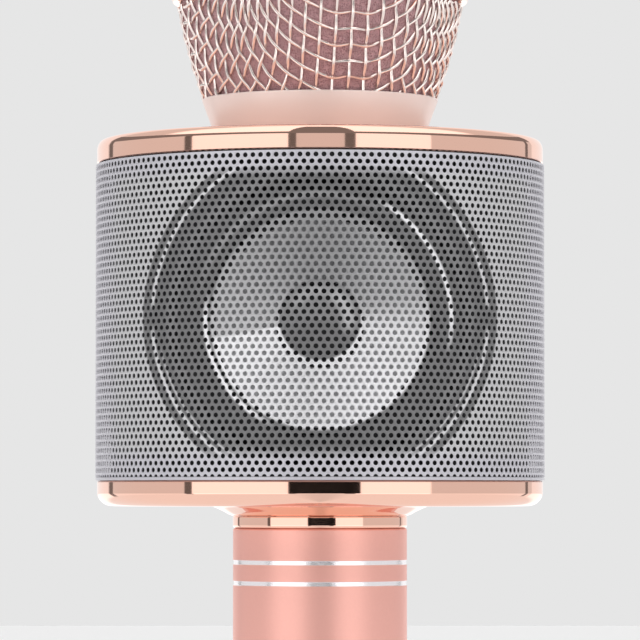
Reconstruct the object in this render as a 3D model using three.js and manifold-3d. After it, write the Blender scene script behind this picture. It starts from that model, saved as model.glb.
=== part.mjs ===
// A handheld karaoke microphone with a built-in loudspeaker drum.
// Millimetres, +Z up, front towards -Y. The origin is the centre of the flat foot of the handle.
import * as THREE from "three";
import { mergeVertices } from "three/addons/utils/BufferGeometryUtils.js";
import Module from "manifold-3d";

const wasm = await Module();
wasm.setup();

// ---------- Driving dimensions ----------

const GAP = 0.3; // between pieces that touch

const HANDLE_R = 16;
const TUBE_WALL = 1.5;
const TUBE_BASE_Z = 3;
const TUBE_TOP_Z = 124.5;
const GROOVE_DEPTH = 0.25;
const GROOVE_HALF = 0.42;
const GROOVE_PITCH = 3.8;
const UPPER_GROOVE_Z = 118.3;
const LOWER_GROOVE_Z = 11;

const CAP_R = 41; // the plated caps at both ends of the drum
const GRILLE_R = 41.3;
const GRILLE_WALL = 0.5;
const LOWER_LIP_Z = 133.2;
const UPPER_LIP_Z = 191.4;
const DRUM_BASE_Z = 128.6;
const DRUM_TOP_Z = 196.1;
const TOP_DISC_Z = 196.7; // where the slightly domed top meets the neck of the head
const SHOULDER_RUN = 1.2; // the top cap's rounded corner, inwards
const SHOULDER_RISE = 2.2;
const SHELL_R = 38.5; // the inner box behind the grille
const SHELL_WALL = 1.8;

const SPEAKER_Z = 161.4;
const BAFFLE_Y = -23.7; // front face of the flat baffle

const THREAD_R = 17.5;
const COLLAR_BASE_Z = 197.2;
const COLLAR_TOP_Z = 203.5;
const COLLAR_BASE_R = 19.6;
const COLLAR_TOP_R = 21.75;
const BALL_BASE_Z = 203.8;
const BAND_BASE_Z = 221.3;
const BAND_TOP_Z = 225.6;
const BALL_TOP_Z = 247.4;
const BALL_WALL = 0.9;

const PANEL_R = 16.35; // the panel's curved face stands a little proud of the tube
const PANEL_BACK_R = 13;
const PANEL_WIDTH = 14.6;
const PANEL_Z = [26.3, 100.7];
const BOARD_Y = -8.9; // front face of the control board
const BOARD_THICK = 1.2;
const BUTTON_PROUD = 0.6;
const BUTTON_STEM_Y = -11.7;
const FADER_Z = 41;
const FADER_TRAVEL = 6;
const FADER_ANGLES = [-16.3, 0, 16.3]; // degrees around the handle, from the front

const BATTERY_Y = 3.4;
const BATTERY_R = 9.15;
const BATTERY_Z = [16, 81];

const ROUND = 32; // facets of the large turned pieces
const GRILLE_ROUND = 40;
const HEAD_ROUND = 24;
const DRIVER_ROUND = 20;
const SMALL_ROUND = 8;

// ---------- Materials ----------

const finish = (color, roughness, metalness) =>
  new THREE.MeshStandardMaterial({ color, roughness, metalness });
const plated = finish(0xe6ac94, 0.1, 1);
const anodised = finish(0xe0a08e, 0.38, 0.8);
const steel = finish(0xc4c3c8, 0.3, 1);
const mesh = finish(0xe9dfd8, 0.25, 1);
const blackPlastic = finish(0x17171a, 0.5, 0);
const pinkPlastic = finish(0xe9b3a4, 0.35, 0);
const foam = finish(0xc98f93, 1, 0);
const rubber = finish(0x202024, 0.7, 0);
const paper = finish(0xb9b9bd, 0.35, 0.4);
const ferrite = finish(0x2b2b2f, 0.6, 0.1);
const board = finish(0x1f6b3b, 0.5, 0);
const cellWrap = finish(0x2f5fa8, 0.4, 0);
const copper = finish(0xb4683a, 0.35, 0.9);
const lamp = finish(0x7fb7ff, 0.1, 0);
const redWire = finish(0xb3231f, 0.5, 0);

// ---------- Geometry helpers ----------

// A closed three.js geometry as a manifold-3d solid with its faces pointing out.
function solid(geometry) {
  const loose = geometry.index ? geometry.toNonIndexed() : geometry;
  const bare = new THREE.BufferGeometry();
  bare.setAttribute("position", loose.getAttribute("position"));
  const merged = mergeVertices(bare, 1e-4);
  const corners = merged.index.array;
  const triangles = [];
  for (let i = 0; i < corners.length; i += 3) {
    const [a, b, c] = corners.slice(i, i + 3);
    if (a !== b && b !== c && c !== a) triangles.push([a, b, c]);
  }
  const vertProperties = Float32Array.from(merged.attributes.position.array);
  const build = (list) =>
    new wasm.Manifold(
      new wasm.Mesh({ numProp: 3, vertProperties, triVerts: Uint32Array.from(list.flat()) }),
    );
  const made = build(triangles);
  return made.volume() > 0 ? made : build(triangles.map(([a, b, c]) => [a, c, b]));
}

function geometryOf(made) {
  const { vertProperties, triVerts } = made.getMesh();
  const geometry = new THREE.BufferGeometry();
  geometry.setAttribute("position", new THREE.BufferAttribute(vertProperties, 3));
  geometry.setIndex(new THREE.BufferAttribute(triVerts, 1));
  return geometry;
}

// A profile of [radius, height] points turned about the Z axis.
function turned(profile, facets = ROUND) {
  const open = profile[0][0] === 0 && profile.at(-1)[0] === 0;
  const points = (open ? profile : [...profile, profile[0]]).map(([r, z]) => new THREE.Vector2(r, z));
  return solid(new THREE.LatheGeometry(points, facets).rotateX(Math.PI / 2));
}

// A quarter arc in a profile, about [r, z], from one angle to another in degrees.
function arc(r, z, radius, from, to, steps = 2) {
  return Array.from({ length: steps + 1 }, (_, i) => {
    const a = THREE.MathUtils.degToRad(from + ((to - from) * i) / steps);
    return [r + radius * Math.cos(a), z + radius * Math.sin(a)];
  });
}

const box = ([x0, x1], [y0, y1], [z0, z1]) =>
  solid(
    new THREE.BoxGeometry(x1 - x0, y1 - y0, z1 - z0).translate((x0 + x1) / 2, (y0 + y1) / 2, (z0 + z1) / 2),
  );

// A round bar along Z.
const barZ = (radius, [z0, z1], x = 0, y = 0, facets = SMALL_ROUND) =>
  solid(
    new THREE.CylinderGeometry(radius, radius, z1 - z0, facets)
      .rotateX(Math.PI / 2)
      .translate(x, y, (z0 + z1) / 2),
  );

// A round bar along Y.
const barY = (radius, [y0, y1], x, z, facets = SMALL_ROUND) =>
  solid(new THREE.CylinderGeometry(radius, radius, y1 - y0, facets).translate(x, (y0 + y1) / 2, z));

// An upright slot shape with round ends, cut through from one y to another.
function stadium(width, [z0, z1], [y0, y1]) {
  const r = width / 2;
  const shape = new THREE.Shape();
  shape.absarc(0, z1 - r, r, 0, Math.PI);
  shape.absarc(0, z0 + r, r, Math.PI, 2 * Math.PI);
  const geometry = new THREE.ExtrudeGeometry(shape, { depth: y1 - y0, bevelEnabled: false, curveSegments: 8 });
  return solid(geometry.rotateX(Math.PI / 2).translate(0, y1, 0));
}

// A profile of [radius, distance forward of the baffle] points turned about the loudspeaker's axis.
function turnedDriver(profile) {
  return turned(profile, DRIVER_ROUND)
    .rotate([90, 0, 0])
    .translate([0, BAFFLE_Y - 0.2, SPEAKER_Z]);
}

// A round lead of the given radius through a list of points.
function lead(radius, points) {
  const circle = new THREE.Shape().absarc(0, 0, radius, 0, 2 * Math.PI);
  const path = new THREE.CatmullRomCurve3(points.map((p) => new THREE.Vector3(...p)));
  return solid(new THREE.ExtrudeGeometry(circle, { steps: 10, extrudePath: path, curveSegments: 4 }));
}

const model = new THREE.Group();

function add(name, made, material) {
  const part = new THREE.Mesh(geometryOf(made), material);
  part.name = name;
  model.add(part);
  return part;
}

// ---------- Handle ----------

const tubeInnerR = HANDLE_R - TUBE_WALL;

// A shallow V cut round the tube: the points of its profile, from below.
const groove = (z) => [
  [HANDLE_R, z - GROOVE_HALF],
  [HANDLE_R - GROOVE_DEPTH, z],
  [HANDLE_R, z + GROOVE_HALF],
];

function handleTube() {
  const grooves = [LOWER_GROOVE_Z, LOWER_GROOVE_Z + GROOVE_PITCH, UPPER_GROOVE_Z - GROOVE_PITCH, UPPER_GROOVE_Z];
  const tube = turned([
    [tubeInnerR, TUBE_BASE_Z],
    [HANDLE_R, TUBE_BASE_Z],
    ...grooves.flatMap(groove),
    [HANDLE_R, TUBE_TOP_Z],
    [tubeInnerR, TUBE_TOP_Z],
  ]);
  const window = stadium(PANEL_WIDTH + 2 * GAP, [PANEL_Z[0] - GAP, PANEL_Z[1] + GAP], [-20, -8]);
  return tube.subtract(window);
}

const CHARGE_Y = -6.2;
const JACK_Y = 6.6;

function endCap() {
  const spigotR = tubeInnerR - GAP;
  const body = turned([
    [0, 0],
    [HANDLE_R - 0.8, 0],
    [HANDLE_R, 0.8],
    [HANDLE_R, TUBE_BASE_Z],
    [spigotR, TUBE_BASE_Z],
    [spigotR, 10],
    [spigotR - 2, 10],
    [spigotR - 2, TUBE_BASE_Z],
    [0, TUBE_BASE_Z],
  ]);
  return body
    .subtract(box([-4, 4], [CHARGE_Y - 1.5, CHARGE_Y + 1.5], [-1, 4]))
    .subtract(barZ(3.1, [-1, 4], 0, JACK_Y, 16))
    .subtract(barZ(2.5, [-1, 1.7]))
    .subtract(barZ(1.3, [-1, 4]));
}

function chargePort() {
  const shell = box([-3.75, 3.75], [CHARGE_Y - 1.3, CHARGE_Y + 1.3], [0.6, 7]);
  return shell.subtract(box([-3.2, 3.2], [CHARGE_Y - 0.8, CHARGE_Y + 0.8], [0, 5.5]));
}

function audioJack() {
  return barZ(2.8, [0.5, 12], 0, JACK_Y, 16).subtract(barZ(1.8, [0, 10.5], 0, JACK_Y));
}

const endCapScrew = () => barZ(2.2, [0.5, 1.6]).add(barZ(1, [1.5, 12]));

function batteryCradle() {
  const along = [13, 84];
  const pipe = barZ(BATTERY_R + 1.55, along, 0, BATTERY_Y, 20);
  const room = barZ(BATTERY_R + 0.35, [BATTERY_Z[0] - GAP, BATTERY_Z[1] + GAP], 0, BATTERY_Y, 20);
  return pipe
    .subtract(room)
    .subtract(box([-15, 15], [-15, BATTERY_Y - 3], [15, 82]))
    .subtract(barZ(1.2, [12, 17]));
}

const batteryCell = () => barZ(BATTERY_R, BATTERY_Z, 0, BATTERY_Y, 20);

// The polished ring between the handle and the drum.
const neckRing = () =>
  turned([
    [14.5, TUBE_TOP_Z],
    [HANDLE_R - 0.4, TUBE_TOP_Z],
    [HANDLE_R, TUBE_TOP_Z + 0.5],
    [HANDLE_R, TUBE_TOP_Z + 2],
    [HANDLE_R - 0.9, TUBE_TOP_Z + 2.4],
    [14.5, TUBE_TOP_Z + 2.4],
  ]);

// ---------- Controls ----------

// Name, radius and height of each push button, from the top down.
const BUTTONS = [
  ["power_button", 3, 94.5],
  ["mode_button", 2.5, 84.5],
  ["previous_button", 2.5, 76],
  ["play_button", 3.6, 67],
  ["next_button", 2.5, 58],
];
const LIGHT_Z = 89.2;
const FADERS = ["mic_volume_fader", "music_volume_fader", "echo_fader"];

// A piece placed radially: its local -Y is turned by some degrees about the handle's axis.
const radial = (made, degrees) => made.rotate([0, 0, degrees]);

function controlPanel() {
  const slab = turned([
    [PANEL_BACK_R, PANEL_Z[0] - 2],
    [PANEL_R, PANEL_Z[0] - 2],
    [PANEL_R, PANEL_Z[1] + 2],
    [PANEL_BACK_R, PANEL_Z[1] + 2],
  ], 48);
  const behind = turned([
    [PANEL_BACK_R, PANEL_Z[0] - 2],
    [tubeInnerR - GAP, PANEL_Z[0] - 2],
    [tubeInnerR - GAP, PANEL_Z[1] + 2],
    [PANEL_BACK_R, PANEL_Z[1] + 2],
  ], 48);
  const face = slab.intersect(stadium(PANEL_WIDTH, PANEL_Z, [-20, -5]));
  const flange = behind.intersect(stadium(PANEL_WIDTH + 3, [PANEL_Z[0] - 1.5, PANEL_Z[1] + 1.5], [-20, -5]));
  let panel = face.add(flange);
  for (const [, r, z] of BUTTONS) panel = panel.subtract(barY(r + 0.15, [-20, -8], 0, z, 20));
  panel = panel.subtract(barY(1.05, [-20, -8], 0, LIGHT_Z));
  const slotHalf = FADER_TRAVEL + 1.5;
  for (const degrees of FADER_ANGLES) {
    const slot = box([-0.9, 0.9], [-20, -11], [FADER_Z - slotHalf, FADER_Z + slotHalf]);
    panel = panel.subtract(radial(slot, degrees));
  }
  return panel;
}

// A round key whose face follows the handle's curve, with a retaining flange and a stem.
function button(r, z) {
  const flangeR = r + 0.5;
  const flangeY = -Math.sqrt(PANEL_BACK_R ** 2 - flangeR ** 2) + 0.15;
  const key = barY(r, [-18, flangeY + 0.1], 0, z, 20).intersect(
    barZ(PANEL_R + BUTTON_PROUD, [z - 6, z + 6], 0, 0, 72),
  );
  return key
    .add(barY(flangeR, [flangeY, flangeY + 0.4], 0, z, 20))
    .add(barY(1, [flangeY + 0.2, BUTTON_STEM_Y], 0, z));
}

function tactSwitch(z) {
  const body = box([-2.2, 2.2], [BOARD_Y - 1.6, BOARD_Y], [z - 2.2, z + 2.2]);
  return body.add(barY(1, [BOARD_Y - 2.1, BOARD_Y - 1.5], 0, z));
}

// A fader cap with two grip ridges, and the lever that reaches the slide potentiometer.
function fader(degrees) {
  const capY = -PANEL_R - GAP;
  const half = 2.6;
  let cap = box([-1.8, 1.8], [capY - 1.2, capY], [FADER_Z - half, FADER_Z + half]);
  for (const dz of [-1.4, 0, 1.4])
    cap = cap.add(box([-1.8, 1.8], [capY - 1.6, capY - 1], [FADER_Z + dz - 0.35, FADER_Z + dz + 0.35]));
  const lever = box([-0.5, 0.5], [capY - 0.2, -12], [FADER_Z - 1.2, FADER_Z + 1.2]);
  return radial(cap.add(lever), degrees);
}

const slidePot = (x) => box([x - 1.5, x + 1.5], [BOARD_Y - 2.3, BOARD_Y], [FADER_Z - 10, FADER_Z + 10]);

const controlBoard = () => box([-8, 8], [BOARD_Y, BOARD_Y + BOARD_THICK], [24, 104]);

const statusLight = () => barY(0.9, [-PANEL_R - 0.15, -13.2], 0, LIGHT_Z);

// ---------- Drum ----------

const rimR = GRILLE_R - GRILLE_WALL - GAP; // the rims that the grille wraps round

function bottomCap() {
  const spigotR = tubeInnerR - GAP;
  const fillet = 2.1;
  const floor = 1.1;
  return turned([
    [spigotR - 2.2, 113],
    [spigotR, 113],
    [spigotR, TUBE_TOP_Z + 2.7],
    [HANDLE_R + 0.2, TUBE_TOP_Z + 2.7],
    [HANDLE_R + 3.8, DRUM_BASE_Z],
    ...arc(CAP_R - fillet, DRUM_BASE_Z + fillet, fillet, -90, 0, 3),
    [CAP_R, LOWER_LIP_Z],
    [rimR, LOWER_LIP_Z],
    [rimR, LOWER_LIP_Z + 1.5],
    [rimR - 1.6, LOWER_LIP_Z + 1.5],
    [rimR - 1.6, DRUM_BASE_Z + floor],
    [spigotR - 2.2, DRUM_BASE_Z + floor],
  ]);
}

function topCap() {
  const shoulder = arc(0, 0, 1, 0, 90, 3).map(([run, rise]) => [
    CAP_R - SHOULDER_RUN * (1 - run),
    DRUM_TOP_Z - SHOULDER_RISE * (1 - rise),
  ]);
  return turned([
    [rimR - 1.6, UPPER_LIP_Z - 1.5],
    [rimR, UPPER_LIP_Z - 1.5],
    [rimR, UPPER_LIP_Z],
    [CAP_R, UPPER_LIP_Z],
    ...shoulder,
    [20.5, TOP_DISC_Z],
    [THREAD_R, TOP_DISC_Z],
    [THREAD_R, 202.2],
    [14.8, 202.2],
    [14.8, TOP_DISC_Z],
    [6, TOP_DISC_Z],
    [6, 194.8],
    [rimR - 1.6, 194.6],
  ]);
}

// One rolled sheet, with its butt seam at the back.
function speakerGrille() {
  const low = LOWER_LIP_Z + GAP;
  const high = UPPER_LIP_Z - GAP;
  const sheet = turned(
    [
      [GRILLE_R - GRILLE_WALL, low],
      [GRILLE_R, low],
      [GRILLE_R, high],
      [GRILLE_R - GRILLE_WALL, high],
    ],
    GRILLE_ROUND,
  );
  return sheet.subtract(box([-0.2, 0.2], [30, 45], [low - 1, high + 1]));
}

const SHELL_Z = [131.2, 194.2];
const LUG_X = 32.5;
const LUG_HALF = 5;

// The inner box as one closed ring, before it is parted into its two halves.
const shellRing = () =>
  turned([
    [SHELL_R - SHELL_WALL, SHELL_Z[0]],
    [SHELL_R, SHELL_Z[0]],
    [SHELL_R, SHELL_Z[1]],
    [SHELL_R - SHELL_WALL, SHELL_Z[1]],
  ]);

const SCREW_ANGLES = [45, 135, 225, 315];
const SCREW_RHO = 29.3;

const screwAt = (degrees) => {
  const a = THREE.MathUtils.degToRad(degrees);
  return [SCREW_RHO * Math.cos(a), SPEAKER_Z + SCREW_RHO * Math.sin(a)];
};

// The front half, with the flat baffle that the loudspeaker is screwed to.
function frontHousing() {
  const split = -0.15;
  const half = shellRing().intersect(box([-50, 50], [BAFFLE_Y, split], [120, 200]));
  const baffle = box([-29.5, 29.5], [BAFFLE_Y, BAFFLE_Y + 2], SHELL_Z);
  const opening = barY(27.8, [BAFFLE_Y - 1, BAFFLE_Y + 3], 0, SPEAKER_Z, 32);
  let housing = half.add(baffle).subtract(opening);
  for (const side of [-1, 1]) {
    const x = [side * LUG_X - LUG_HALF, side * LUG_X + LUG_HALF];
    housing = housing.add(box(x, [-6, split], [SPEAKER_Z - 4, SPEAKER_Z + 4]));
    housing = housing.subtract(barY(1.2, [-5, 1], side * LUG_X, SPEAKER_Z));
  }
  for (const degrees of SCREW_ANGLES) housing = housing.subtract(barY(1, [-30, -20], ...screwAt(degrees)));
  return housing.intersect(barZ(SHELL_R, [120, 200], 0, 0, ROUND));
}

function rearHousing() {
  const split = 0.15;
  const backY = 30;
  const half = shellRing().intersect(box([-50, 50], [split, backY], [120, 200]));
  let housing = half.add(box([-23.5, 23.5], [backY - 2, backY], SHELL_Z));
  for (const side of [-1, 1]) {
    const x = [side * LUG_X - LUG_HALF, side * LUG_X + LUG_HALF];
    housing = housing.add(box(x, [split, 6], [SPEAKER_Z - 4, SPEAKER_Z + 4]));
    housing = housing.subtract(barY(1.4, [-1, 7], side * LUG_X, SPEAKER_Z));
  }
  return housing.intersect(barZ(SHELL_R, [120, 200], 0, 0, ROUND));
}

const housingScrew = (side) =>
  barY(2.4, [6.1, 7.6], side * LUG_X, SPEAKER_Z).add(barY(1, [-4, 6.2], side * LUG_X, SPEAKER_Z));

function ampBoard() {
  const face = 12;
  return box([-22, 22], [face, face + 1.6], [142, 184])
    .add(box([-6, 6], [face - 1.4, face + 0.5], [156, 168]))
    .add(barY(3.5, [face - 9, face + 0.5], 14, 150, 16))
    .add(barY(3.5, [face - 9, face + 0.5], 14, 176, 16))
    .add(box([-20, -11], [face - 5, face + 0.5], [146, 154]));
}

// ---------- Loudspeaker ----------

const speakerFrame = () => {
  let frame = turnedDriver([
    [9, -12.7],
    [17.4, -12.7],
    [26, -2.2],
    [27.5, -2.2],
    [27.5, 0],
    [30.85, 0],
    [30.85, 1.2],
    [26.9, 1.2],
    [26.9, -0.1],
    [25.3, -0.1],
    [25.3, -1.6],
    [16.9, -11.7],
    [9, -11.7],
  ]);
  for (const degrees of SCREW_ANGLES) frame = frame.subtract(barY(1, [-30, -20], ...screwAt(degrees)));
  for (const degrees of [0, 90, 180, 270]) {
    const window = box([17, 23], [-19.5, -14], [-5, 5]).rotate([0, degrees, 0]).translate([0, 0, SPEAKER_Z]);
    frame = frame.subtract(window);
  }
  return frame;
};

const speakerTrim = () =>
  turnedDriver([
    [27.2, 1.45],
    [27.9, 1.45],
    [27.9, 1.95],
    [30.7, 1.95],
    [30.7, 2.3],
    [30.3, 2.5],
    [27.2, 2.5],
  ]);

const speakerScrew = (degrees) => {
  const [x, z] = screwAt(degrees);
  const seat = BAFFLE_Y - 1.4;
  return barY(1, [seat - 0.55, seat - 0.02], x, z).add(barY(0.8, [seat - 0.1, -19.5], x, z));
};

const surround = () =>
  turnedDriver([
    [18.6, 0.2],
    ...arc(23, 0.2, 2.5, 180, 0, 4),
    [26.5, 0.2],
    [26.5, 0.7],
    ...arc(23, 0.7, 2.5, 0, 180, 4),
    [18.6, 0.7],
  ]);

const cone = () =>
  turnedDriver([
    [6.95, -5.9],
    [19.9, -0.7],
    [19.9, -0.1],
    [6.95, -5.2],
  ]);

const dustCap = () => turnedDriver([[0, -4.8], [7.5, -4.8], [7.5, -4.5], [5.6, -2.6], [2.9, -1.6], [0, -1.3]]);

const voiceCoil = () => turnedDriver([[6, -15.5], [6.7, -15.5], [6.7, -6], [6, -6]]);

const spider = () =>
  turnedDriver([[6.95, -9.4], [9.5, -8.6], [12, -9.4], [14.5, -8.6], [17, -9.4], [17, -8.8], [14.5, -8], [12, -8.8], [9.5, -8], [6.95, -8.8]]);

const polePlate = () => turnedDriver([[7.4, -14.7], [16.5, -14.7], [16.5, -12.9], [7.4, -12.9]]);

const magnet = () => turnedDriver([[8.2, -21], [17.5, -21], [17.5, -14.9], [8.2, -14.9]]);

const yoke = () => turnedDriver([[0, -23.2], [17, -23.2], [17, -21.2], [5.6, -21.2], [5.6, -13], [0, -13]]);

// ---------- Head ----------

const headCollar = () =>
  turned([
    [THREAD_R + 0.4, COLLAR_BASE_Z],
    [COLLAR_BASE_R - 0.3, COLLAR_BASE_Z],
    [COLLAR_BASE_R, COLLAR_BASE_Z + 0.3],
    [COLLAR_TOP_R, COLLAR_TOP_Z - 0.3],
    [COLLAR_TOP_R - 0.3, COLLAR_TOP_Z],
    [COLLAR_TOP_R - 1.4, COLLAR_TOP_Z],
    [THREAD_R + 0.4, COLLAR_TOP_Z - 1],
  ]);

const collarGasket = () => turned([[18, 196.8], [19.2, 196.8], [19.2, 197.1], [18, 197.1]]);

// The waist of the ball, from its base up to the band, moved inwards by some distance.
function waist(inset, steps = 4) {
  const curve = new THREE.QuadraticBezierCurve(
    new THREE.Vector2(21.5 - inset, BALL_BASE_Z),
    new THREE.Vector2(25.2 - inset, 213),
    new THREE.Vector2(26.5 - inset, BAND_BASE_Z - 0.2),
  );
  return curve.getPoints(steps).map((p) => [p.x, p.y]);
}

// The dome of the ball, from the band up to the top, moved inwards by some distance.
function dome(inset, steps = 5) {
  const base = BAND_TOP_Z + 0.2;
  return Array.from({ length: steps + 1 }, (_, i) => {
    const a = ((Math.PI / 2) * i) / steps;
    return i === steps
      ? [0, BALL_TOP_Z - inset]
      : [(26.5 - inset) * Math.cos(a), base + (BALL_TOP_Z - inset - base) * Math.sin(a)];
  });
}

const lowerBall = () => turned([...waist(0), ...waist(BALL_WALL).reverse()], HEAD_ROUND);

const upperBall = () => turned([...dome(BALL_WALL).reverse(), ...dome(0)], HEAD_ROUND);

const ballBand = () =>
  turned(
    [
      [25.8, BAND_BASE_Z],
      [26.9, BAND_BASE_Z],
      [27.3, BAND_BASE_Z + 0.6],
      [27.3, BAND_TOP_Z - 0.6],
      [26.9, BAND_TOP_Z],
      [25.8, BAND_TOP_Z],
    ],
    HEAD_ROUND,
  );

function foamLiner() {
  const inset = BALL_WALL + 0.5;
  const outside = [[20.1, 206], ...waist(inset, 3).slice(1), ...dome(inset, 4)];
  const pocket = [[0, 229.5], [9, 229], [15.6, 226], [15.6, 206]];
  return turned([...pocket, ...outside], HEAD_ROUND);
}

const capsule = () =>
  turned(
    [[0, 200.3], [11.5, 200.3], [11.5, 222], [10.9, 222.6], [11.5, 223.2], [11.5, 225], [9.5, 226.5], [0, 226.5]],
    DRIVER_ROUND,
  );

const capsuleMount = () =>
  turned(
    [[2, 197], [14.5, 197], [14.5, 206], [13.7, 207], [14.5, 208], [14.5, 212], [11.8, 212], [11.8, 200], [2, 200]],
    DRIVER_ROUND,
  );

// ---------- Assembly ----------

add("handle_tube", handleTube(), anodised);
add("end_cap", endCap(), plated);
add("end_cap_screw", endCapScrew(), steel);
add("charge_port", chargePort(), steel);
add("audio_jack", audioJack(), blackPlastic);
add("battery_cradle", batteryCradle(), blackPlastic);
add("battery_cell", batteryCell(), cellWrap);
add("neck_ring", neckRing(), plated);

add("control_panel", controlPanel(), pinkPlastic);
add("control_board", controlBoard(), board);
add("status_light", statusLight(), lamp);
for (const [name, r, z] of BUTTONS) {
  add(name, button(r, z), plated);
  add(name.replace("button", "switch"), tactSwitch(z), blackPlastic);
}
FADERS.forEach((name, i) => {
  add(name, fader(FADER_ANGLES[i]), plated);
  add(name.replace("fader", "slider_pot"), slidePot((i - 1) * 3.6), steel);
});

add("bottom_cap", bottomCap(), plated);
add("top_cap", topCap(), plated);
add("speaker_grille", speakerGrille(), steel);
add("front_housing", frontHousing(), blackPlastic);
add("rear_housing", rearHousing(), blackPlastic);
[-1, 1].forEach((side, i) => add(`housing_screw_${i + 1}`, housingScrew(side), steel));
add("amp_board", ampBoard(), board);

add("speaker_frame", speakerFrame(), blackPlastic);
add("speaker_trim", speakerTrim(), steel);
SCREW_ANGLES.forEach((degrees, i) => add(`speaker_screw_${i + 1}`, speakerScrew(degrees), steel));
add("surround", surround(), rubber);
add("cone", cone(), paper);
add("dust_cap", dustCap(), rubber);
add("voice_coil", voiceCoil(), copper);
add("spider", spider(), copper);
add("pole_plate", polePlate(), steel);
add("magnet", magnet(), ferrite);
add("yoke", yoke(), steel);

add("head_collar", headCollar(), plated);
add("collar_gasket", collarGasket(), rubber);
add("ball_grille_lower", lowerBall(), mesh);
add("ball_band", ballBand(), plated);
add("ball_grille_upper", upperBall(), mesh);
add("foam_liner", foamLiner(), foam);
add("mic_capsule", capsule(), steel);
add("capsule_mount", capsuleMount(), rubber);

add("battery_lead", lead(0.7, [[2, 3.4, 84.8], [2, 1, 88], [2, -3.5, 93], [2, -6.6, 97]]), redWire);
add("speaker_lead", lead(0.7, [[-15, 6, 150], [-15, 2, 141], [-10, -8, 136.5], [-6, -15, 137.5]]), redWire);
add("capsule_lead", lead(0.8, [[0, 0, 196.6], [0, 1, 192], [2, 6, 188], [3, 9.5, 183]]), redWire);

export default model;
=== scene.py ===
"""A karaoke microphone: a turned handle, a perforated loudspeaker drum and a woven wire head."""

import math

import bmesh
import bpy
import numpy as np
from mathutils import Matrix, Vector


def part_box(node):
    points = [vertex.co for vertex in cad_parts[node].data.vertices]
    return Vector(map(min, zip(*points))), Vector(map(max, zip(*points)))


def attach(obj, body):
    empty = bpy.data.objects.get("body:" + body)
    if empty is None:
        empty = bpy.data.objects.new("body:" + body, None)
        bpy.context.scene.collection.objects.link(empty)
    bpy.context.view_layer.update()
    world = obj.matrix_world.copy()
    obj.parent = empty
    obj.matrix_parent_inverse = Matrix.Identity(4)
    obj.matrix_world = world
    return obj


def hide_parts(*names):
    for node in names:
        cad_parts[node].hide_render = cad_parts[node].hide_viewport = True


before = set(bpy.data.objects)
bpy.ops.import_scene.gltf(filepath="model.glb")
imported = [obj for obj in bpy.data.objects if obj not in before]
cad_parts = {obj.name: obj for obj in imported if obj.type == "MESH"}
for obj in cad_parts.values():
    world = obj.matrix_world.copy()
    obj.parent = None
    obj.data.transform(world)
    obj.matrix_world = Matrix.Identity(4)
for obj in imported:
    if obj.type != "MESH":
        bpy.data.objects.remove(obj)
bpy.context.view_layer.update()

MM = 0.001
TAU = 2 * math.pi
SMOOTH = 160  # facets of the large turned pieces
FINE = 96  # facets of the loudspeaker's pieces
scene = bpy.context.scene


# ---------- Camera, light and floor ----------

CAMERA_DISTANCE = 816  # mm from the microphone's axis
CAMERA_HEIGHT = 131.5
CAMERA_TILT = 2.2  # degrees above the horizon
CAMERA_LENS = 249.2
PALE = 0.791  # what the camera sees beyond the floor
FLOOR_SIZE = 7000
FLOOR_DROP = 0.2  # the paper lies this far under the handle's foot


def add_camera():
    data = bpy.data.cameras.new("camera")
    data.lens = CAMERA_LENS
    data.sensor_width = 36
    data.clip_end = 100
    camera = bpy.data.objects.new("camera", data)
    camera.location = (0, -CAMERA_DISTANCE * MM, CAMERA_HEIGHT * MM)
    camera.rotation_euler = (math.radians(90 + CAMERA_TILT), 0, 0)
    scene.collection.objects.link(camera)
    scene.camera = camera


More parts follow.
